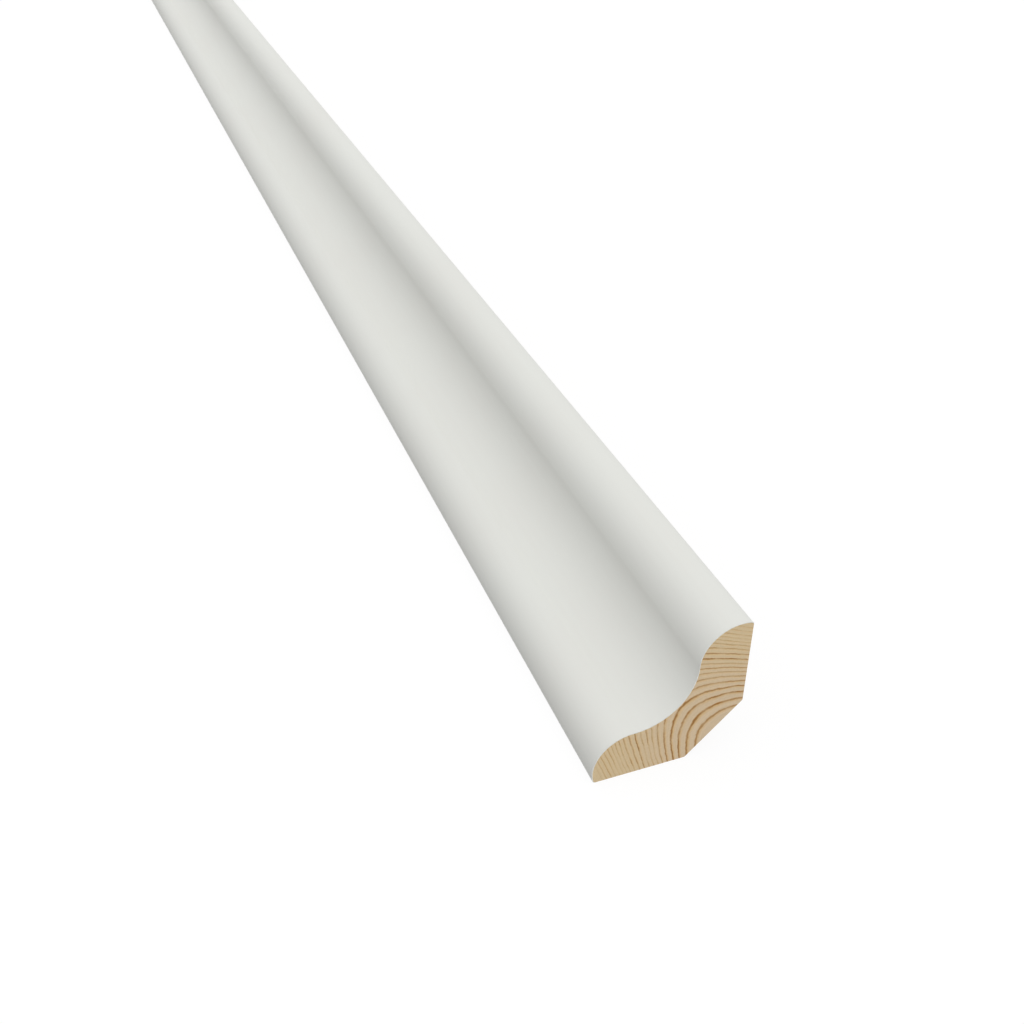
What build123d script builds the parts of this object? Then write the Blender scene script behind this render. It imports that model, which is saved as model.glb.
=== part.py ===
from build123d import *
import math
import os

# Scotia moulding: one length of softwood, run through a moulder to a single section.
# X runs across the section with the wall flat on +X, Y runs along the length,
# and the floor flat lies on Z = 0.

# Driving dimensions, in millimetres
LENGTH = 2400.0  # the length that such stock is sold in
FLOOR_LEG = 21.0  # from the wall to the outermost point of the floor nose
WALL_LEG = 21.0  # from the floor to the topmost point of the wall nose
NOSE_RADIUS = 5.5  # round of each edge of the front
NOSE_CREST = 1.5  # from a flat to the outermost point of the nose beside it
COVE_RADIUS = 8.5  # hollow between the two noses
BACK_CHAMFER = 7.7  # taken off the hidden back corner, measured along each flat
TIP_ROUND = 0.4  # where a nose meets its flat
ARRIS_ROUND = 0.2  # the two edges of the back chamfer


def moulding_section() -> Sketch:
    """Draw the section, with the wall flat on X = 0 and the floor flat on Y = 0."""
    floor_nose = Vector(NOSE_RADIUS - FLOOR_LEG, NOSE_CREST)
    wall_nose = Vector(-NOSE_CREST, WALL_LEG - NOSE_RADIUS)

    # The cove touches both noses, so its centre is both radii away from each nose's centre
    between = wall_nose - floor_nose
    outwards = Vector(-between.Y, between.X).normalized()
    reach = NOSE_RADIUS + COVE_RADIUS
    cove = (floor_nose + wall_nose) / 2 + outwards * math.sqrt(reach**2 - (between.length / 2) ** 2)
    floor_touch = floor_nose + (cove - floor_nose) * (NOSE_RADIUS / reach)
    wall_touch = wall_nose + (cove - wall_nose) * (NOSE_RADIUS / reach)

    # Each nose rolls a little past its crest before it meets its flat
    past_crest = math.sqrt(NOSE_RADIUS**2 - NOSE_CREST**2)
    floor_tip = Vector(floor_nose.X - past_crest, 0)
    wall_tip = Vector(0, wall_nose.Y + past_crest)

    with BuildSketch() as section:
        with BuildLine():
            ThreePointArc(floor_tip, (-FLOOR_LEG, NOSE_CREST), floor_touch)
            ThreePointArc(floor_touch, cove - outwards * COVE_RADIUS, wall_touch)
            ThreePointArc(wall_touch, (-NOSE_CREST, WALL_LEG), wall_tip)
            Polyline(wall_tip, (0, BACK_CHAMFER), (-BACK_CHAMFER, 0), floor_tip)
        make_face()
        tips = [section.vertices().sort_by_distance(tip)[0] for tip in (floor_tip, wall_tip)]
        fillet(tips, TIP_ROUND)
        back_corners = ((-BACK_CHAMFER, 0), (0, BACK_CHAMFER))
        arrises = [section.vertices().sort_by_distance(corner)[0] for corner in back_corners]
        fillet(arrises, ARRIS_ROUND)
    return section.sketch


def scotia_moulding() -> Part:
    """Run the section along the whole length, with both ends cut square."""
    with BuildPart() as moulding:
        with BuildSketch(Plane.XZ):
            with Locations((FLOOR_LEG / 2, 0)):
                add(moulding_section())
        extrude(amount=LENGTH / 2, both=True)
    return moulding.part


os.makedirs("parts", exist_ok=True)
stock = scotia_moulding()
stock.label = "scotia_moulding"
export_step(stock, "parts/scotia_moulding.step")
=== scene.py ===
"""Looks of a painted softwood scotia moulding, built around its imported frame.

The moulding is one piece. Geometry Nodes sweep its section, a cove between two rounded noses,
along the stock. The front is satin paint, the back is bare planed wood, and both ends are sawn
across, so they show the growth rings of the same wood.
"""

import logging
import math
from collections.abc import Mapping
from dataclasses import dataclass
from enum import Enum
from typing import Any

import bpy
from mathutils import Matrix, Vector


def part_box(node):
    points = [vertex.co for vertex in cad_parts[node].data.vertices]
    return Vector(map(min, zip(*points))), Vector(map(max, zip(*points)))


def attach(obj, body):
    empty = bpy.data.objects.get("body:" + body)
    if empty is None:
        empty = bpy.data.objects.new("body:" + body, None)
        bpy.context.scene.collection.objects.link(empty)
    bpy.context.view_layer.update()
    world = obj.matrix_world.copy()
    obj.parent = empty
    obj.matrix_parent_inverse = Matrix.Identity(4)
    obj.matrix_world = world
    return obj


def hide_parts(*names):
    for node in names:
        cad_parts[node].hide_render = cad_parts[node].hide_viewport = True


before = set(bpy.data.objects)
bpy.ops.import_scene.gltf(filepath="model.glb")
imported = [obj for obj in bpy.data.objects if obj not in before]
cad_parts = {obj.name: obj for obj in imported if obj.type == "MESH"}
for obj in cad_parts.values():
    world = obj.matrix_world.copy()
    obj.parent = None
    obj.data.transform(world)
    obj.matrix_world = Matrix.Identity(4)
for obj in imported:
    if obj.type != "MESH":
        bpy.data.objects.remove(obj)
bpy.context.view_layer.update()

log = logging.getLogger("scotia_moulding")

# Names of the part and its body in the frame, and of the bake map
NODE = "scotia_moulding"
BODY = "root"
BAKE_MAP = "OFBake"

# The attribute that keeps each face's zone
ZONE_MARK = "zone"

# Units and shares
MM = 0.001
HALF = 0.5

# What a step along X or Z counts along the section's diagonal
SLANT = math.sqrt(HALF)

# The curve of a screen's levels: a straight toe, then a power
SCREEN_LEVELS = 255
TOE_END = 0.04045
TOE_SLOPE = 12.92
CURVE_LIFT = 0.055
CURVE_POWER = 2.4

# Places of the sockets for colours on a Mix node
MIX_FACTOR = 0
MIX_FIRST = 6
MIX_SECOND = 7
MIX_RESULT = 2

Colour = tuple[float, float, float, float]
WHITE: Colour = (1.0, 1.0, 1.0, 1.0)


class Zone(Enum):
    """The kinds of surface on the moulding, each with a finish of its own."""

    PAINT = 0
    PLANED = 1
    SAWN = 2


class End(Enum):
    """The two ends of the stock, by the side of Y that they are on."""

    NEAR = -1
    FAR = 1


class EndRow(Enum):
    """The rows of points across an end, from the front of the section to its back."""

    FRONT = 0
    UNDER_PAINT = 1
    BACK = 2


class Detail(Enum):
    """How finely a noise is layered."""

    SOFT = 1.0
    PLAIN = 2.0
    FINE = 3.0


class Signal:
    """A node's output that can stand in a Python expression, which then adds Math nodes."""

    def __init__(self, graph: "Graph", socket: bpy.types.NodeSocket) -> None:
        """Keep the socket and the graph that it is in."""
        self.graph = graph
        self.socket = socket

    def __add__(self, other: "Signal | float") -> "Signal":
        """Add another signal or a number."""
        return self.graph.math("ADD", self, other)

    def __radd__(self, other: float) -> "Signal":
        """Add this signal to a number."""
        return self.graph.math("ADD", other, self)

    def __sub__(self, other: "Signal | float") -> "Signal":
        """Take another signal or a number away."""
        return self.graph.math("SUBTRACT", self, other)

    def __rsub__(self, other: float) -> "Signal":
        """Take this signal away from a number."""
        return self.graph.math("SUBTRACT", other, self)

    def __mul__(self, other: "Signal | float") -> "Signal":
        """Multiply by another signal or a number."""
        return self.graph.math("MULTIPLY", self, other)

    def __rmul__(self, other: float) -> "Signal":
        """Multiply a number by this signal."""
        return self.graph.math("MULTIPLY", other, self)

    def __truediv__(self, other: "Signal | float") -> "Signal":
        """Divide by another signal or a number."""
        return self.graph.math("DIVIDE", self, other)

    def __rtruediv__(self, other: float) -> "Signal":
        """Divide a number by this signal."""
        return self.graph.math("DIVIDE", other, self)

    def __lt__(self, other: "Signal | float") -> "Signal":
        """Give 1 where this signal is the smaller, and 0 elsewhere."""
        return self.graph.math("LESS_THAN", self, other)

    def __gt__(self, other: "Signal | float") -> "Signal":
        """Give 1 where this signal is the larger, and 0 elsewhere."""
        return self.graph.math("GREATER_THAN", self, other)

    def equals(self, number: int) -> "Signal":
        """Give 1 where a signal of whole numbers is this number, and 0 elsewhere."""
        return (self - number).size() < HALF

    def centred(self) -> "Signal":
        """Move a signal that goes from 0 to 1 so that it lies about 0."""
        return self - HALF

    def root(self) -> "Signal":
        """Take the square root."""
        return self.graph.math("SQRT", self)

    def sine(self) -> "Signal":
        """Take the sine of an angle in radians."""
        return self.graph.math("SINE", self)

    def whole(self) -> "Signal":
        """Round down to a whole number."""
        return self.graph.math("FLOOR", self)

    def part(self) -> "Signal":
        """Keep what is past the whole number."""
        return self.graph.math("FRACT", self)

    def size(self) -> "Signal":
        """Drop the sign."""
        return self.graph.math("ABSOLUTE", self)

    def at_most(self, limit: "Signal | float") -> "Signal":
        """Hold down to a limit."""
        return self.graph.math("MINIMUM", self, limit)

    def at_least(self, limit: "Signal | float") -> "Signal":
        """Hold up to a limit."""
        return self.graph.math("MAXIMUM", self, limit)

    def ease(self, low: float, high: float) -> "Signal":
        """Rise smoothly from 0 at low to 1 at high, or fall if high is the smaller.

        Args:
            low: The value where the result is 0.
            high: The value where the result is 1.

        Returns:
            A signal from 0 to 1.
        """
        turned = high < low
        node = self.graph.node(
            "ShaderNodeMapRange",
            {"interpolation_type": "SMOOTHSTEP"},
            {
                "Value": self,
                "From Min": min(low, high),
                "From Max": max(low, high),
                "To Min": 1.0 if turned else 0.0,
                "To Max": 0.0 if turned else 1.0,
            },
        )
        return self.graph.out(node)


Feed = Signal | bpy.types.NodeSocket | bpy.types.ID | float | str | tuple


class Graph:
    """A node tree, for a shader or for geometry, that grows through one method."""

    def __init__(self, tree: bpy.types.NodeTree) -> None:
        """Keep the tree."""
        self.tree = tree

    def node(
        self,
        kind: str,
        settings: Mapping[str, Any] | None = None,
        inputs: Mapping[str | int, Feed] | None = None,
    ) -> bpy.types.Node:
        """Add a node.

        Args:
            kind: The node's type.
            settings: Its own settings, set before its sockets.
            inputs: The value or the link of each socket, by name or place.

        Returns:
            The new node.
        """
        made = self.tree.nodes.new(kind)
        for name, value in (settings or {}).items():
            setattr(made, name, value)
        for key, value in (inputs or {}).items():
            self.feed(made.inputs[key], value)
        return made

    def feed(self, socket: bpy.types.NodeSocket, value: Feed) -> None:
        """Link a signal or a socket to an input, or set the input to a plain value.

        Args:
            socket: The input.
            value: What it gets.
        """
        if isinstance(value, Signal):
            self.tree.links.new(value.socket, socket)
        elif isinstance(value, bpy.types.NodeSocket):
            self.tree.links.new(value, socket)
        else:
            socket.default_value = value

    def out(self, node: bpy.types.Node, key: str | int = 0) -> Signal:
        """Wrap one of a node's outputs as a signal."""
        return Signal(self, node.outputs[key])

    def math(self, operation: str, *values: Signal | float) -> Signal:
        """Add a Math node and give its result."""
        inputs = dict(enumerate(values))
        return self.out(self.node("ShaderNodeMath", {"operation": operation}, inputs))

    def vector(self, operation: str, *values: Feed) -> Signal:
        """Add a Vector Math node and give its vector."""
        inputs = dict(enumerate(values))
        return self.out(self.node("ShaderNodeVectorMath", {"operation": operation}, inputs))

    def scaled(self, vector: Signal, factor: Signal) -> Signal:
        """Scale a vector or a colour."""
        inputs = {0: vector, "Scale": factor}
        return self.out(self.node("ShaderNodeVectorMath", {"operation": "SCALE"}, inputs))

    def span(self, vector: Signal) -> Signal:
        """Measure a vector's length."""
        node = self.node("ShaderNodeVectorMath", {"operation": "LENGTH"}, {0: vector})
        return self.out(node, "Value")

    def apart(self, vector: Signal) -> tuple[Signal, Signal, Signal]:
        """Split a vector into its three parts."""
        node = self.node("ShaderNodeSeparateXYZ", inputs={0: vector})
        return self.out(node, "X"), self.out(node, "Y"), self.out(node, "Z")

    def joined(self, x: Signal | float, y: Signal | float, z: Signal | float) -> Signal:
        """Make a vector of three parts."""
        return self.out(self.node("ShaderNodeCombineXYZ", inputs={"X": x, "Y": y, "Z": z}))

    def drawn_out(self, place: Signal, width: float, length: float) -> Signal:
        """Count a place in widths across the stock and in lengths along it."""
        return self.vector("MULTIPLY", place, (1 / width, 1 / length, 1 / width))

    def blend(self, factor: Signal | float, low: Feed, high: Feed) -> Signal:
        """Mix two colours.

        Args:
            factor: How much of the second colour there is, from 0 to 1.
            low: The first colour.
            high: The second colour.

        Returns:
            The mixed colour.
        """
        inputs = {MIX_FACTOR: factor, MIX_FIRST: low, MIX_SECOND: high}
        return self.out(self.node("ShaderNodeMix", {"data_type": "RGBA"}, inputs), MIX_RESULT)

    def noise(self, place: Signal, scale: float = 1.0, detail: Detail = Detail.PLAIN) -> Signal:
        """Add fixed noise about a half.

        Args:
            place: Where it is read.
            scale: Waves for each unit of place.
            detail: How finely it is layered.

        Returns:
            The noise, from 0 to 1.
        """
        inputs = {"Vector": place, "Scale": scale, "Detail": detail.value}
        return self.out(self.node("ShaderNodeTexNoise", {"noise_dimensions": "3D"}, inputs))


def linear(level: float) -> float:
    """Undo the screen's curve for one level.

    Args:
        level: The level, from 0 to 255.

    Returns:
        The light that it stands for, from 0 to 1.
    """
    share = level / SCREEN_LEVELS
    if share <= TOE_END:
        return share / TOE_SLOPE
    return ((share + CURVE_LIFT) / (1 + CURVE_LIFT)) ** CURVE_POWER


def srgb(red: float, green: float, blue: float) -> Colour:
    """Turn three screen levels into the linear colour that a shader takes."""
    return (linear(red), linear(green), linear(blue), 1.0)


@dataclass(frozen=True)
class Section:
    """The moulding's section, seen along +Y, with sizes in metres.

    The wall flat is at x = wall and the floor flat at z = 0. The front runs from the floor
    flat over both noses to the wall flat, and the back runs between the same two points along
    the flats and the chamfer, with as many points.
    """

    wall: float
    floor_leg: float
    wall_leg: float
    nose_radius: float = 5.5 * MM
    # From a flat to the outermost point of the nose beside it
    nose_crest: float = 1.5 * MM
    cove_radius: float = 8.5 * MM
    # Measured along each flat
    back_chamfer: float = 7.7 * MM
    # Where a nose meets its flat, and at the two edges of the chamfer
    tip_round: float = 0.4 * MM
    arris_round: float = 0.2 * MM
    # Faces along each stretch of the outline
    tip_steps: int = 6
    nose_steps: int = 64
    cove_steps: int = 84
    arris_steps: int = 4
    chamfer_steps: int = 48

    @property
    def steps(self) -> int:
        """Steps along the front, and along the back."""
        return 2 * (self.tip_steps + self.nose_steps) + self.cove_steps

    @staticmethod
    def arc(centre: Vector, start: Vector, end: Vector, steps: int) -> list[Vector]:
        """Step round an arc the shorter way.

        Args:
            centre: The arc's centre.
            start: Its first point.
            end: Its last point, as far from the centre.
            steps: The number of steps.

        Returns:
            The points, without the last one.
        """
        first, last = start - centre, end - centre
        turn = last.angle_signed(first)
        radius, angle = first.length, math.atan2(first.y, first.x)
        angles = [angle + turn * step / steps for step in range(steps)]
        return [centre + radius * Vector((math.cos(at), math.sin(at))) for at in angles]

    @staticmethod
    def line(start: Vector, end: Vector, steps: int) -> list[Vector]:
        """Step along a straight line, leaving out its last point."""
        return [start.lerp(end, step / steps) for step in range(steps)]

    def tip_centre(self, nose: Vector, along: Vector, up: Vector) -> Vector:
        """Find the centre of the small round between a nose and its flat.

        Args:
            nose: The nose's centre.
            along: The direction of the flat, towards the nose's tip.
            up: The direction away from the flat, into the wood.

        Returns:
            The round's centre.
        """
        inner = self.nose_radius - self.tip_round
        rise = self.tip_round - self.nose_crest
        return nose + up * rise + along * math.sqrt(inner**2 - rise**2)

    def front(self) -> list[Vector]:
        """Draw the painted front.

        Returns:
            Its points, from the floor flat to the wall flat.
        """
        left, up = Vector((-1, 0)), Vector((0, 1))
        low = Vector((self.wall - self.floor_leg + self.nose_radius, self.nose_crest))
        high = Vector((self.wall - self.nose_crest, self.wall_leg - self.nose_radius))
        reach = self.nose_radius + self.cove_radius
        between = high - low
        outwards = Vector((-between.y, between.x)).normalized()
        cove = (low + high) / 2 + outwards * math.sqrt(reach**2 - (between.length / 2) ** 2)
        low_touch = low + (cove - low) * (self.nose_radius / reach)
        high_touch = high + (cove - high) * (self.nose_radius / reach)
        low_tip = self.tip_centre(low, left, up)
        high_tip = self.tip_centre(high, up, left)
        low_start = low + (low_tip - low).normalized() * self.nose_radius
        high_end = high + (high_tip - high).normalized() * self.nose_radius
        last = high_tip - left * self.tip_round
        return [
            *self.arc(low_tip, low_tip - up * self.tip_round, low_start, self.tip_steps),
            *self.arc(low, low_start, low_touch, self.nose_steps),
            *self.arc(cove, low_touch, high_touch, self.cove_steps),
            *self.arc(high, high_touch, high_end, self.nose_steps),
            *self.arc(high_tip, high_end, last, self.tip_steps),
            last,
        ]

    def back(self) -> list[Vector]:
        """Draw the two flats and the chamfer.

        Returns:
            Their points, from the front's first point to its last.
        """
        front = self.front()
        right, up = Vector((1, 0)), Vector((0, 1))
        low_corner = Vector((self.wall - self.back_chamfer, 0))
        high_corner = Vector((self.wall, self.back_chamfer))
        slope = (high_corner - low_corner).normalized()
        setback = self.arris_round * math.tan(slope.angle(right) / 2)
        floor_end = low_corner - right * setback
        wall_start = high_corner + up * setback
        flat_steps = (self.steps - self.chamfer_steps) // 2 - self.arris_steps
        low_centre = floor_end + up * self.arris_round
        high_centre = wall_start - right * self.arris_round
        slope_start = low_corner + slope * setback
        slope_end = high_corner - slope * setback
        return [
            *self.line(front[0], floor_end, flat_steps),
            *self.arc(low_centre, floor_end, slope_start, self.arris_steps),
            *self.line(slope_start, slope_end, self.chamfer_steps),
            *self.arc(high_centre, slope_end, wall_start, self.arris_steps),
            *self.line(wall_start, front[-1], flat_steps),
            front[-1],
        ]


@dataclass(frozen=True)
class Swell:
    """A slow change in how fast the tree grew.

    Attributes:
        rings: Rings gained and then lost again.
        wave: Length of the wave, in millimetres of depth.
        start: Where the wave starts, in radians.
    """

    rings: float
    wave: float
    start: float

    def gain(self, depth: Signal) -> Signal:
        """Count the rings gained at a depth in millimetres."""
        return (depth * (math.tau / self.wave) + self.start).sine() * self.rings


@dataclass(frozen=True)
class Waver:
    """An unevenness of the rings, as fixed noise.

    Attributes:
        reach: How far the rings stray to either side, in millimetres.
        across: Waves for each millimetre across the stock.
        along: Waves for each metre along it.
        detail: How finely the noise is layered.
    """

    reach: float
    across: float
    along: float
    detail: Detail = Detail.SOFT

    def stray(self, graph: Graph, across: Signal, along: Signal, rise: Signal) -> Signal:
        """Say how far the rings stray at a place.

        Args:
            graph: The node tree that needs it.
            across: The place across the stock, in millimetres.
            along: The place along it, in metres.
            rise: The place above the floor flat, in millimetres.

        Returns:
            The distance, in millimetres.
        """
        place = graph.joined(across * self.across, along * self.along, rise * self.across)
        return graph.noise(place, detail=self.detail).centred() * (2 * self.reach)


@dataclass(frozen=True)
class RingBand:
    """A band of colour within each ring, by shares of the ring from the middle of its dark line.

    Attributes:
        rise: Where it sets in.
        full: Where it is full.
        fall: Where it starts to go.
        gone: Where it has gone.
    """

    rise: float
    full: float
    fall: float
    gone: float

    def on(self, share: Signal) -> Signal:
        """Give 1 within the band, with soft edges."""
        return share.ease(self.rise, self.full) * share.ease(self.gone, self.fall)


@dataclass(frozen=True)
class GrowthRings:
    """The growth rings that run through the stock, as a rule in space.

    Depth is counted in millimetres from the hidden back corner towards the front, along the
    section's diagonal. The rings bow round that corner, and flare out along both legs.
    """

    # Place of the back corner along X and of the near end along Y, in metres
    corner: float
    near_end: float
    # The bow: its bluntness, its flare along each leg, its shift off the diagonal, and its turn
    bow: float = 42.7
    floor_flare: float = 3.46
    wall_flare: float = 3.35
    sideways: float = 0.29
    turn: float = 0.037
    # Mean depth of a ring, the depth where the first one starts, and the changes in growth
    ring_width: float = 1.675
    first_ring: float = 5.25
    swells: tuple[Swell, ...] = (
        Swell(rings=-1.07, wave=64.5, start=0.63),
        Swell(rings=0.15, wave=11.78, start=-2.79),
        Swell(rings=0.05, wave=7.86, start=3.0),
    )
    # Fine unevenness, and a slow drift that sets in over the first stretch, in metres
    wavers: tuple[Waver, ...] = (
        Waver(reach=0.3, across=0.4, along=14.0),
        Waver(reach=0.18, across=1.6, along=30.0, detail=Detail.PLAIN),
    )
    drift: Waver = Waver(reach=2.6, across=0.02, along=3.0)
    drift_start: float = 0.35
    # How dark the lines are: more so in the first rings, and a little by chance each year
    plain_weight: float = 0.41
    heart_rings: float = 4.8
    heart_weight: float = 0.21
    year_chance: float = 0.3
    year_seed: int = 83
    # The one ring that stands out, the number that shows, and the rings that a fade takes
    dark_year: int = 9
    dark_weight: float = 0.34
    last_rings: float = 19.0
    fade: float = 1.0

    def depth(self, graph: Graph, place: Signal) -> Signal:
        """Work out the depth at a place.

        Args:
            graph: The node tree that needs it.
            place: The place, in metres in the moulding's frame.

        Returns:
            The depth, in millimetres.
        """
        x, y, z = graph.apart(place)
        across = (x - self.corner) / MM
        along = y - self.near_end
        rise = z / MM
        diagonal = (rise - across) * SLANT
        sideways = (rise + across) * SLANT
        cosine, sine = math.cos(self.turn), math.sin(self.turn)
        out = diagonal * cosine + sideways * sine
        side = sideways * cosine - diagonal * sine - self.sideways
        flare = self.floor_flare + (side > 0.0) * (self.wall_flare - self.floor_flare)
        swung = flare * side
        depth = out + (swung * swung + self.bow**2).root() - self.bow
        for waver in self.wavers:
            depth = depth + waver.stray(graph, across, along, rise)
        drift = self.drift.stray(graph, across, along, rise)
        return depth + drift * along.ease(0.0, self.drift_start)

    def count(self, depth: Signal) -> Signal:
        """Count the rings up to a depth, with each ring's dark line at its half.

        Args:
            depth: The depth, in millimetres.

        Returns:
            The count, with its part of a ring.
        """
        total = (depth - self.first_ring) / self.ring_width
        for swell in self.swells:
            total = total + swell.gain(depth)
        return total

    def up_to(self, count: Signal, rings: float) -> Signal:
        """Give 1 for the first rings, fading to 0 after them."""
        return count.ease(rings + self.fade, rings - self.fade)

    def weight(self, graph: Graph, count: Signal) -> Signal:
        """Say how dark each ring's line is.

        Args:
            graph: The node tree that needs it.
            count: The count of rings.

        Returns:
            The darkness, from 0 to 1.
        """
        ring = count.whole()
        year = {"W": ring + self.year_seed}
        draw = graph.node("ShaderNodeTexWhiteNoise", {"noise_dimensions": "1D"}, year)
        total = self.plain_weight + self.up_to(count, self.heart_rings) * self.heart_weight
        total = total + graph.out(draw, "Value").centred() * self.year_chance
        total = total + ring.equals(self.dark_year) * self.dark_weight
        return total * (count > 0.0) * self.up_to(count, self.last_rings)


@dataclass(frozen=True, kw_only=True)
class Finish:
    """A surface finish, which makes its own material.

    Attributes:
        name: The material's name.
        roughness: How matt it is, from 0 to 1.
        gloss: How strongly it mirrors.
        relief: Height of its finest relief, in metres.
    """

    name: str
    roughness: float
    gloss: float
    relief: float

    def material(self) -> bpy.types.Material:
        """Make the material.

        Returns:
            The new material.
        """
        made = bpy.data.materials.new(self.name)
        made.use_nodes = True
        made.node_tree.nodes.clear()
        graph = Graph(made.node_tree)
        shader = self.shader(graph)
        graph.node("ShaderNodeOutputMaterial", inputs={"Surface": shader.outputs[0]})
        return made

    def shader(self, graph: Graph) -> bpy.types.Node:
        """Build the shader that the finish needs."""
        raise NotImplementedError

    def surface(
        self, graph: Graph, colour: Signal, roughness: Signal, height: Signal
    ) -> bpy.types.Node:
        """Put a colour, a roughness and a relief together.

        Args:
            graph: The material's node tree.
            colour: The colour.
            roughness: How matt it is, from 0 to 1.
            height: The relief, from 0 to 1.

        Returns:
            The shader.
        """
        bump = graph.node(
            "ShaderNodeBump",
            inputs={"Strength": 1.0, "Distance": self.relief, "Height": height},
        )
        return graph.node(
            "ShaderNodeBsdfPrincipled",
            inputs={
                "Base Color": colour,
                "Roughness": roughness,
                "Specular IOR Level": self.gloss,
                "Normal": bump.outputs[0],
            },
        )

    @staticmethod
    def place(graph: Graph) -> Signal:
        """Give the place on the surface, in metres in the moulding's frame."""
        return graph.out(graph.node("ShaderNodeTexCoord"), "Object")


@dataclass(frozen=True, kw_only=True)
class SatinPaint(Finish):
    """White satin paint, sprayed on the moulded front."""

    roughness: float = 0.5
    gloss: float = 0.12
    relief: float = 0.004 * MM
    # The full coat, the thinnest coat, and the values between which it gets thin
    colour: Colour = srgb(226, 227, 222)
    thin: Colour = srgb(225, 225, 220)
    thin_range: tuple[float, float] = (0.35, 0.75)
    # Sizes of the coat's slow clouds, of the grain that shows through and of the stipple
    cloud_size: float = 30 * MM
    grain_width: float = 0.7 * MM
    grain_length: float = 60 * MM
    stipple_size: float = 0.8 * MM
    # Share of the clouds in the colour and of the stipple in the relief, beside the grain
    cloud_share: float = 0.6
    stipple_share: float = 0.6
    # How much the stipple changes the roughness
    stipple_change: float = 0.08

    def shader(self, graph: Graph) -> bpy.types.Node:
        """Build the paint: nearly even, with the spray's fine stipple and a hint of the grain.

        Args:
            graph: The material's node tree.

        Returns:
            The shader.
        """
        place = self.place(graph)
        drawn_out = graph.drawn_out(place, self.grain_width, self.grain_length)
        grain = graph.noise(drawn_out, detail=Detail.FINE)
        stipple = graph.noise(place, 1 / self.stipple_size)
        cloud = graph.noise(place, 1 / self.cloud_size)
        thinness = cloud * self.cloud_share + grain * (1 - self.cloud_share)
        colour = graph.blend(thinness.ease(*self.thin_range), self.colour, self.thin)
        roughness = stipple.centred() * self.stipple_change + self.roughness
        height = stipple * self.stipple_share + grain * (1 - self.stipple_share)
        return self.surface(graph, colour, roughness, height)


@dataclass(frozen=True, kw_only=True)
class BarePine(Finish):
    """Pine without paint, with the growth rings of the stock."""

    rings: GrowthRings
    # The wood that leads up to a ring's dark line, and the line: colour, and place in the ring
    blush: Colour
    late: Colour
    blush_band: RingBand
    line_band: RingBand
    # How much less matt the dark line is
    line_polish: float = 0.1

    def bands(
        self, graph: Graph, depth: Signal, strength: Signal | float
    ) -> tuple[Signal, Signal]:
        """Find the blush and the dark line of each ring.

        Args:
            graph: The material's node tree.
            depth: The depth in the rings, in millimetres.
            strength: How strongly the rings show.

        Returns:
            The blush and the dark line, each from 0 to 1.
        """
        count = self.rings.count(depth)
        share = count.part().centred()
        weight = (self.rings.weight(graph, count) * strength).at_most(1.0)
        return self.blush_band.on(share) * weight, self.line_band.on(share) * weight


@dataclass(frozen=True, kw_only=True)
class SawnEnd(BarePine):
    """Pine sawn across the grain."""

    roughness: float = 0.75
    gloss: float = 0.2
    relief: float = 0.02 * MM
    # The pale wood by the back corner and towards the front, and the depths of the change
    heart: Colour = srgb(213, 191, 160)
    outer: Colour = srgb(214, 192, 154)
    heart_range: tuple[float, float] = (8.0, 30.0)
    blush: Colour = srgb(216, 182, 130)
    late: Colour = srgb(152, 106, 54)
    blush_band: RingBand = RingBand(rise=-0.45, full=-0.1, fall=0.0, gone=0.2)
    line_band: RingBand = RingBand(rise=-0.2, full=-0.02, fall=0.03, gone=0.18)
    # Patches where the rings show more: their size, the values of their edge, and how much
    patch_size: float = 2.2 * MM
    patch_range: tuple[float, float] = (0.28, 0.62)
    patch_least: float = 0.38
    patch_change: float = 0.95
    # Fine bands along the rings: waves for each millimetre, their shift, and change of tone
    season_waves: float = 3.7
    season_shift: float = 0.4
    season_change: float = 0.24
    # The cut cells: their size, and change of tone
    cell_size: float = 0.22 * MM
    cell_change: float = 0.16
    # Share of the dark lines in the relief, beside the cells
    line_share: float = 0.6

    def shader(self, graph: Graph) -> bpy.types.Node:
        """Build the end grain: pale wood that blushes up to each thin dark line.

        Args:
            graph: The material's node tree.

        Returns:
            The shader.
        """
        place = self.place(graph)
        depth = self.rings.depth(graph, place)
        patches = graph.noise(place, 1 / self.patch_size, Detail.FINE).ease(*self.patch_range)
        strength = patches * self.patch_change + self.patch_least
        blush, line = self.bands(graph, depth, strength)
        layer = graph.joined(depth * self.season_waves, depth * self.season_shift, 0.0)
        seasons = graph.noise(layer, detail=Detail.FINE)
        cells = graph.noise(place, 1 / self.cell_size)
        colour = graph.blend(depth.ease(*self.heart_range), self.heart, self.outer)
        colour = graph.blend(blush, colour, self.blush)
        colour = graph.blend(line, colour, self.late)
        tone = 1 + seasons.centred() * self.season_change + cells.centred() * self.cell_change
        roughness = self.roughness - line * self.line_polish
        height = line * self.line_share + cells * (1 - self.line_share)
        return self.surface(graph, graph.scaled(colour, tone), roughness, height)


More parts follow.
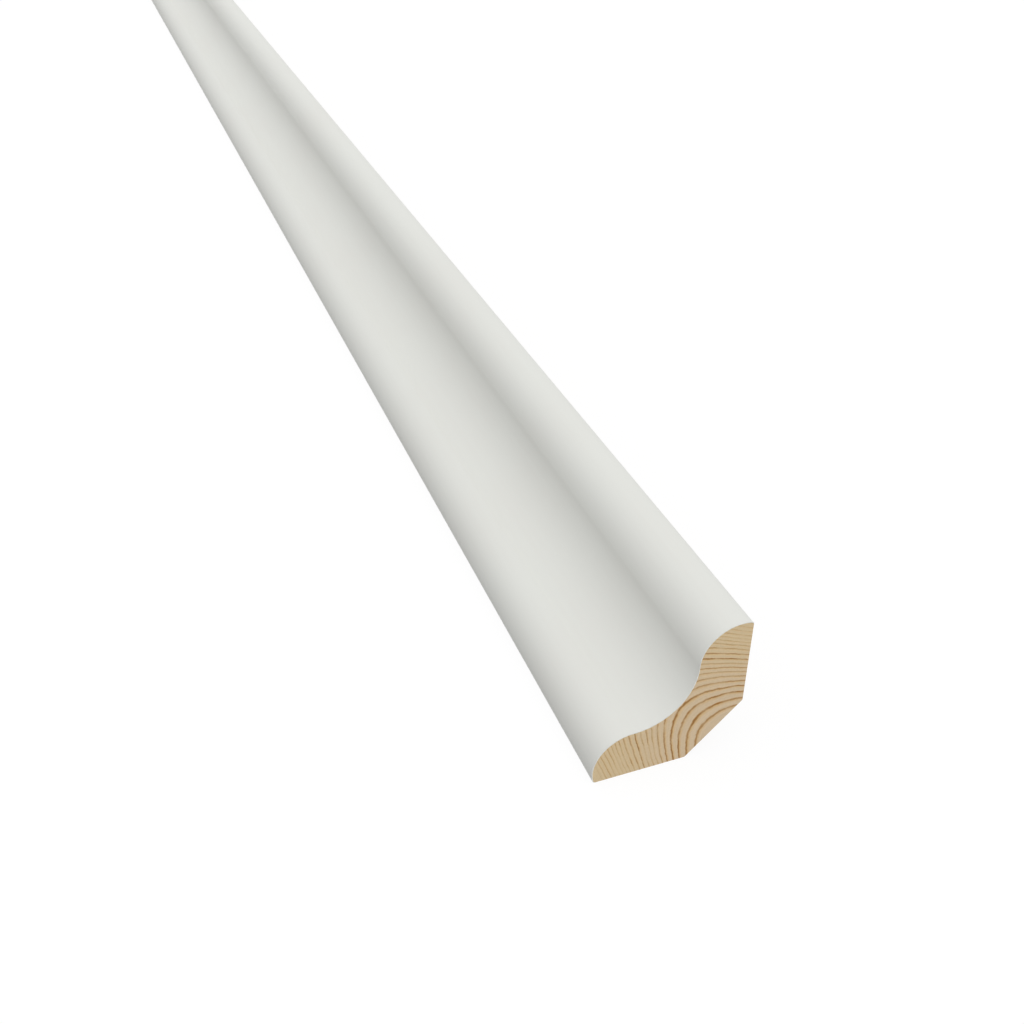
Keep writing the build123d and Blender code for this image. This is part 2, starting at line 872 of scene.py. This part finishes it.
@dataclass(frozen=True, kw_only=True)
class PlanedWood(BarePine):
    """Pine planed along the grain, on the flats and the chamfer."""

    roughness: float = 0.6
    gloss: float = 0.25
    relief: float = 0.015 * MM
    # The pale wood between the dark lines
    early: Colour = srgb(231, 208, 172)
    blush: Colour = srgb(221, 186, 136)
    late: Colour = srgb(193, 145, 90)
    blush_band: RingBand = RingBand(rise=-0.5, full=0.0, fall=0.06, gone=0.16)
    line_band: RingBand = RingBand(rise=-0.25, full=0.02, fall=0.06, gone=0.14)
    # How strongly the rings show, and how much of the pale wood a dark line covers
    strength: float = 1.25
    line_cover: float = 0.8
    # The fibres: their size, change of tone, and share of the relief beside the dark lines
    fibre_width: float = 0.3 * MM
    fibre_length: float = 14 * MM
    fibre_change: float = 0.18
    fibre_share: float = 0.6
    # Slow clouds: waves for each metre along X, Y and Z, and change of tone
    cloud_waves: tuple[float, float, float] = (60.0, 9.0, 60.0)
    cloud_change: float = 0.12

    def shader(self, graph: Graph) -> bpy.types.Node:
        """Build the long grain: the same rings drawn out along the stock, and fine fibres.

        Args:
            graph: The material's node tree.

        Returns:
            The shader.
        """
        place = self.place(graph)
        depth = self.rings.depth(graph, place)
        blush, line = self.bands(graph, depth, self.strength)
        drawn_out = graph.drawn_out(place, self.fibre_width, self.fibre_length)
        fibres = graph.noise(drawn_out, detail=Detail.FINE)
        cloud = graph.noise(graph.vector("MULTIPLY", place, self.cloud_waves))
        colour = graph.blend(blush, self.early, self.blush)
        colour = graph.blend(line * self.line_cover, colour, self.late)
        tone = 1 + fibres.centred() * self.fibre_change + cloud.centred() * self.cloud_change
        roughness = self.roughness - line * self.line_polish
        height = fibres * self.fibre_share + line * (1 - self.fibre_share)
        return self.surface(graph, graph.scaled(colour, tone), roughness, height)


@dataclass(frozen=True)
class BakeLayout:
    """Where the surface lies on the square bake map, in shares of the map's side.

    The back and the front are two strips along the whole map, and the ends stand above them,
    the near one on the left.
    """

    margin: float = 0.02
    back_top: float = 0.38
    front_bottom: float = 0.40
    front_top: float = 0.53
    ends_bottom: float = 0.545
    far_left: float = 0.52
    end_side: float = 0.44

    def on_strip(self, graph: Graph, around: Signal, along: Signal, zone: Zone) -> Signal:
        """Find the front's or the back's places on the map.

        Args:
            graph: The node tree that needs them.
            around: The place round the section, from 0 to 1.
            along: The place along the stock, from 0 to 1.
            zone: The painted front or the planed back.

        Returns:
            The place on the map.
        """
        bottom, top = self.margin, self.back_top
        if zone is Zone.PAINT:
            bottom, top = self.front_bottom, self.front_top
        right = along * (1 - 2 * self.margin) + self.margin
        return graph.joined(right, around * (top - bottom) + bottom, 0.0)

    def on_end(self, graph: Graph, across: Signal, rise: Signal, end: End) -> Signal:
        """Find an end's places on the map.

        Args:
            graph: The node tree that needs them.
            across: The place across the section, from 0 to 1.
            rise: The place up the section, from 0 to 1.
            end: The end.

        Returns:
            The place on the map.
        """
        left = self.margin if end is End.NEAR else self.far_left
        up = rise * self.end_side + self.ends_bottom
        return graph.joined(across * self.end_side + left, up, 0.0)


@dataclass
class Moulding:
    """The moulding itself, with sizes in metres."""

    section: Section
    length: float
    # How many lengths of faces it is swept in
    lengths: int = 24
    # Thickness of the paint, as its cut edge shows on the ends
    coat: float = 0.12 * MM
    # The distance under which points are one, and the angle from which an edge is sharp
    weld: float = 0.001 * MM
    sharp: float = math.radians(40)
    layout: BakeLayout = BakeLayout()

    def build(self, finishes: Mapping[Zone, Finish]) -> bpy.types.Object:
        """Make the moulding as one closed mesh.

        Args:
            finishes: The finish of each kind of surface.

        Returns:
            The piece, at the origin.
        """
        outline = bpy.data.meshes.new("section")
        points = [*self.section.front(), *self.section.back()]
        outline.from_pydata([(point.x, 0.0, point.y) for point in points], [], [])
        piece = bpy.data.objects.new("scotia_moulding_stock", outline)
        bpy.context.scene.collection.objects.link(piece)
        materials = {zone: finish.material() for zone, finish in finishes.items()}
        tree = self.sweep_tree(materials)
        modifier = piece.modifiers.new("sweep", "NODES")
        modifier.node_group = tree
        sizes = {
            "Points": self.section.steps + 1,
            "Length": self.length,
            "Lengths": self.lengths,
            "Coat": self.coat,
        }
        for item in tree.interface.items_tree:
            if item.item_type == "SOCKET" and item.name in sizes:
                modifier[item.identifier] = sizes[item.name]
        depsgraph = bpy.context.evaluated_depsgraph_get()
        swept = bpy.data.meshes.new_from_object(piece.evaluated_get(depsgraph))
        piece.modifiers.clear()
        piece.data = swept
        swept.name = piece.name
        bpy.data.meshes.remove(outline)
        return piece

    def sweep_tree(self, materials: Mapping[Zone, bpy.types.Material]) -> bpy.types.NodeTree:
        """Build the tree that sweeps the section along the stock and closes its ends.

        Args:
            materials: The material of each zone.

        Returns:
            The node tree.
        """
        tree = bpy.data.node_groups.new("sweep_section", "GeometryNodeTree")
        face = tree.interface
        face.new_socket("Geometry", in_out="INPUT", socket_type="NodeSocketGeometry")
        for name in ("Points", "Lengths"):
            face.new_socket(name, in_out="INPUT", socket_type="NodeSocketInt")
        for name in ("Length", "Coat"):
            face.new_socket(name, in_out="INPUT", socket_type="NodeSocketFloat")
        face.new_socket("Geometry", in_out="OUTPUT", socket_type="NodeSocketGeometry")
        graph = Graph(tree)
        given = graph.node("NodeGroupInput")
        parts = [
            self.run(graph, given, Zone.PAINT),
            self.run(graph, given, Zone.PLANED),
            self.cap(graph, given, End.NEAR),
            self.cap(graph, given, End.FAR),
        ]
        joined = graph.node("GeometryNodeJoinGeometry")
        for part in reversed(parts):
            graph.feed(joined.inputs[0], part)
        welded = graph.node(
            "GeometryNodeMergeByDistance",
            inputs={"Geometry": joined.outputs[0], "Distance": self.weld},
        )
        bend = graph.out(graph.node("GeometryNodeInputMeshEdgeAngle"))
        smooth = graph.node(
            "GeometryNodeSetShadeSmooth",
            {"domain": "EDGE"},
            {"Geometry": welded.outputs[0], "Shade Smooth": bend < self.sharp},
        )
        real = graph.node("GeometryNodeRealizeInstances", inputs={0: smooth.outputs[0]})
        shape = real.outputs[0]
        mark = graph.node(
            "GeometryNodeInputNamedAttribute", {"data_type": "INT"}, {"Name": ZONE_MARK}
        )
        zone = graph.out(mark, "Attribute")
        for kind in Zone:
            chosen = zone.equals(kind.value)
            dressed = graph.node(
                "GeometryNodeSetMaterial",
                inputs={"Geometry": shape, "Selection": chosen, "Material": materials[kind]},
            )
            shape = dressed.outputs[0]
        graph.node("NodeGroupOutput", inputs={0: shape})
        return tree

    @staticmethod
    def grid(
        graph: Graph, columns: Signal, rows: Signal | int
    ) -> tuple[bpy.types.Node, Signal, Signal]:
        """Lay a plain grid whose points are then moved into place.

        Args:
            graph: The node tree.
            columns: Points across.
            rows: Points in each column.

        Returns:
            The grid, and each point's column and row.
        """
        inputs = {"Vertices X": columns, "Vertices Y": rows}
        sheet = graph.node("GeometryNodeMeshGrid", inputs=inputs)
        index = graph.out(graph.node("GeometryNodeInputIndex"))
        # The half keeps rounding from moving a point to the column before
        column = ((index + HALF) / rows).whole()
        return sheet, column, index - column * rows

    @staticmethod
    def outline_point(graph: Graph, given: bpy.types.Node, index: Signal) -> Signal:
        """Read one point of the section.

        Args:
            graph: The node tree.
            given: The tree's inputs.
            index: The point's place in the outline.

        Returns:
            The point.
        """
        position = graph.node("GeometryNodeInputPosition")
        node = graph.node(
            "GeometryNodeSampleIndex",
            {"data_type": "FLOAT_VECTOR", "domain": "POINT"},
            {"Geometry": given.outputs["Geometry"], "Value": position.outputs[0], "Index": index},
        )
        return graph.out(node)

    @staticmethod
    def placed(
        graph: Graph, sheet: bpy.types.Node, point: Signal, along: Signal, turned: bool
    ) -> bpy.types.NodeSocket:
        """Move a grid's points into place.

        Args:
            graph: The node tree.
            sheet: The grid.
            point: Each point's place in the section.
            along: Its place along the stock.
            turned: Whether the faces have to be turned over to look outwards.

        Returns:
            The part that the grid has become.
        """
        place = graph.vector("ADD", point, graph.joined(0.0, along, 0.0))
        inputs = {"Geometry": sheet.outputs["Mesh"], "Position": place}
        moved = graph.node("GeometryNodeSetPosition", inputs=inputs)
        if turned:
            moved = graph.node("GeometryNodeFlipFaces", inputs={0: moved.outputs[0]})
        return moved.outputs[0]

    @staticmethod
    def marked(
        graph: Graph, shape: bpy.types.NodeSocket, zone: Signal | float, spot: Signal
    ) -> bpy.types.NodeSocket:
        """Store a part's zone and its place on the bake map.

        Args:
            graph: The node tree.
            shape: The part.
            zone: The zone of each face.
            spot: The place of each corner on the map, from 0 to 1.

        Returns:
            The part, with both stored.
        """
        with_zone = graph.node(
            "GeometryNodeStoreNamedAttribute",
            {"data_type": "INT", "domain": "FACE"},
            {"Geometry": shape, "Name": ZONE_MARK, "Value": zone},
        )
        with_map = graph.node(
            "GeometryNodeStoreNamedAttribute",
            {"data_type": "FLOAT2", "domain": "CORNER"},
            {"Geometry": with_zone.outputs[0], "Name": BAKE_MAP, "Value": spot},
        )
        return with_map.outputs[0]

    def run(self, graph: Graph, given: bpy.types.Node, zone: Zone) -> bpy.types.NodeSocket:
        """Sweep the front or the back of the section along the whole length.

        Args:
            graph: The node tree.
            given: The tree's inputs.
            zone: The painted front or the planed back.

        Returns:
            The swept part.
        """
        points = graph.out(given, "Points")
        lengths = graph.out(given, "Lengths")
        sheet, column, row = self.grid(graph, points, lengths + 1)
        front = zone is Zone.PAINT
        point = self.outline_point(graph, given, column if front else column + points)
        along = (row / lengths).centred() * graph.out(given, "Length")
        shape = self.placed(graph, sheet, point, along, turned=not front)
        around, share, _ = graph.apart(graph.out(sheet, "UV Map"))
        spot = self.layout.on_strip(graph, around, share, zone)
        return self.marked(graph, shape, zone.value, spot)

    def cap(self, graph: Graph, given: bpy.types.Node, end: End) -> bpy.types.NodeSocket:
        """Close one end with a sheet between the front and the back of the section.

        The row of faces along the front is the cut edge of the paint.

        Args:
            graph: The node tree.
            given: The tree's inputs.
            end: The end to close.

        Returns:
            The end's face.
        """
        points = graph.out(given, "Points")
        sheet, column, row = self.grid(graph, points, len(EndRow))
        front = self.outline_point(graph, given, column)
        back = self.outline_point(graph, given, column + points)
        inwards = graph.vector("SUBTRACT", back, front)
        width = graph.span(inwards).at_least(self.weld)
        # By the tips, where the wood is thin, the paint takes half of it at most
        inset = (graph.out(given, "Coat") / width).at_most(HALF)
        share = row.equals(EndRow.UNDER_PAINT.value) * inset + row.equals(EndRow.BACK.value)
        point = graph.vector("ADD", front, graph.scaled(inwards, share))
        along = graph.out(given, "Length") * (HALF * end.value)
        shape = self.placed(graph, sheet, point, along, turned=end is End.NEAR)
        middle = graph.node("GeometryNodeFieldOnDomain", {"domain": "POINT"}, {0: row})
        painted = graph.out(middle) < EndRow.UNDER_PAINT.value
        zone = Zone.SAWN.value + painted * (Zone.PAINT.value - Zone.SAWN.value)
        x, _, z = graph.apart(graph.out(graph.node("GeometryNodeInputPosition")))
        side = self.section.floor_leg
        across = (x - (self.section.wall - side)) / side
        spot = self.layout.on_end(graph, across, z / side, end)
        return self.marked(graph, shape, zone, spot)


@dataclass
class Studio:
    """The plain white floor, the soft light and the camera."""

    # The moulding's back corner at its near end
    near_corner: Vector
    # Soft light from the sides and from above, and how much less comes from the wall's side
    horizon: float = 0.55
    zenith: float = 1.25
    wall_shade: float = 0.12
    # Share of a white end's brightness that the lamp before it gives, and the lamp's angle
    end_fill: float = 0.56
    lamp_spread: float = math.radians(10)
    # The floor's own grey, its glow as it is seen, its glow as it lights, and its side
    floor_grey: float = 0.1
    floor_glow: float = 0.91
    floor_bounce: float = 0.17
    floor_size: float = 60.0
    # The camera: its turn, its lens and sensor in millimetres, and its place from the corner
    yaw: float = math.radians(20.36)
    down: float = math.radians(34.663)
    lens: float = 41.253
    sensor: float = 36.0
    clip_start: float = 5 * MM
    clip_end: float = 200.0
    camera_offset: Vector = Vector((-66.66, -93.84, 114.11)) * MM

    @staticmethod
    def seen(graph: Graph) -> Signal:
        """Give 1 for what the camera sees, by itself or in gloss or through glass.

        Args:
            graph: The node tree that needs it.

        Returns:
            A signal of 0 or 1.
        """
        path = graph.node("ShaderNodeLightPath")
        names = ("Is Camera Ray", "Is Glossy Ray", "Is Transmission Ray")
        camera, gloss, through = (graph.out(path, name) for name in names)
        return camera.at_least(gloss).at_least(through)

    def light_world(self) -> None:
        """Make the world an even soft light that looks white."""
        world = bpy.data.worlds.new("studio")
        bpy.context.scene.world = world
        world.use_nodes = True
        world.node_tree.nodes.clear()
        graph = Graph(world.node_tree)
        seen = self.seen(graph)
        side, _, height = graph.apart(graph.out(graph.node("ShaderNodeTexCoord"), "Generated"))
        sky = self.horizon + height.at_least(0.0) * (self.zenith - self.horizon)
        sky = sky - side.at_least(0.0) * self.wall_shade
        level = seen + (1 - seen) * sky
        glow = graph.node("ShaderNodeBackground", inputs={"Color": WHITE, "Strength": level})
        graph.node("ShaderNodeOutputWorld", inputs={"Surface": glow.outputs[0]})

    def lay_floor(self) -> bpy.types.Object:
        """Lay the floor.

        Returns:
            The floor.
        """
        half = self.floor_size / 2
        mesh = bpy.data.meshes.new("floor")
        corners = [(-half, -half, 0), (half, -half, 0), (half, half, 0), (-half, half, 0)]
        mesh.from_pydata(corners, [], [range(len(corners))])
        floor = bpy.data.objects.new("floor", mesh)
        bpy.context.scene.collection.objects.link(floor)
        material = bpy.data.materials.new("white_floor")
        material.use_nodes = True
        material.node_tree.nodes.clear()
        graph = Graph(material.node_tree)
        grey = (self.floor_grey, self.floor_grey, self.floor_grey, 1.0)
        matt = graph.node("ShaderNodeBsdfDiffuse", inputs={"Color": grey})
        seen = self.seen(graph)
        level = self.floor_bounce + seen * (self.floor_glow - self.floor_bounce)
        glow = graph.node("ShaderNodeEmission", inputs={"Strength": level})
        both = graph.node("ShaderNodeAddShader", inputs={0: matt.outputs[0], 1: glow.outputs[0]})
        graph.node("ShaderNodeOutputMaterial", inputs={"Surface": both.outputs[0]})
        mesh.materials.append(material)
        return floor

    def hang_lamp(self, name: str, towards: Vector) -> None:
        """Add a soft lamp that is far away.

        Args:
            name: The lamp's name.
            towards: The direction that its light travels.
        """
        lamp = bpy.data.lights.new(name, "SUN")
        lamp.energy = self.end_fill * math.pi
        lamp.angle = self.lamp_spread
        hung = bpy.data.objects.new(name, lamp)
        hung.rotation_mode = "QUATERNION"
        hung.rotation_quaternion = towards.to_track_quat("-Z", "Y")
        hung.visible_glossy = False
        bpy.context.scene.collection.objects.link(hung)

    def set_camera(self) -> None:
        """Set the camera where the photograph was taken from."""
        data = bpy.data.cameras.new("camera")
        data.lens = self.lens
        data.sensor_width = self.sensor
        data.clip_start = self.clip_start
        data.clip_end = self.clip_end
        camera = bpy.data.objects.new("camera", data)
        level = math.cos(self.down)
        sideways, ahead = math.sin(self.yaw) * level, math.cos(self.yaw) * level
        forward = Vector((sideways, ahead, -math.sin(self.down)))
        camera.location = self.near_corner + self.camera_offset
        camera.rotation_mode = "QUATERNION"
        camera.rotation_quaternion = forward.to_track_quat("-Z", "Y")
        bpy.context.scene.collection.objects.link(camera)
        bpy.context.scene.camera = camera

    def build(self) -> bpy.types.Object:
        """Set the whole studio up.

        Returns:
            The floor.
        """
        bpy.context.scene.view_settings.view_transform = "Standard"
        self.light_world()
        self.hang_lamp("near_fill", Vector((0, 1, 0)))
        self.hang_lamp("far_fill", Vector((0, -1, 0)))
        self.set_camera()
        return self.lay_floor()


def main() -> None:
    """Build the moulding and its studio, and report them."""
    logging.basicConfig(level=logging.INFO, format="%(name)s: %(message)s")
    low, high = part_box(NODE)
    section = Section(wall=high.x, floor_leg=high.x - low.x, wall_leg=high.z - low.z)
    rings = GrowthRings(corner=high.x, near_end=low.y)
    finishes = {
        Zone.PAINT: SatinPaint(name="satin_paint"),
        Zone.PLANED: PlanedWood(name="planed_pine", rings=rings),
        Zone.SAWN: SawnEnd(name="sawn_pine", rings=rings),
    }
    moulding = Moulding(section, high.y - low.y)
    piece = moulding.build(finishes)
    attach(piece, BODY)
    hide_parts(NODE)
    log.info("%s: %d faces", piece.name, len(piece.data.polygons))
    floor = Studio(near_corner=Vector((high.x, low.y, low.z))).build()
    log.info("%s: stage", floor.name)


if __name__ == "__main__":
    main()
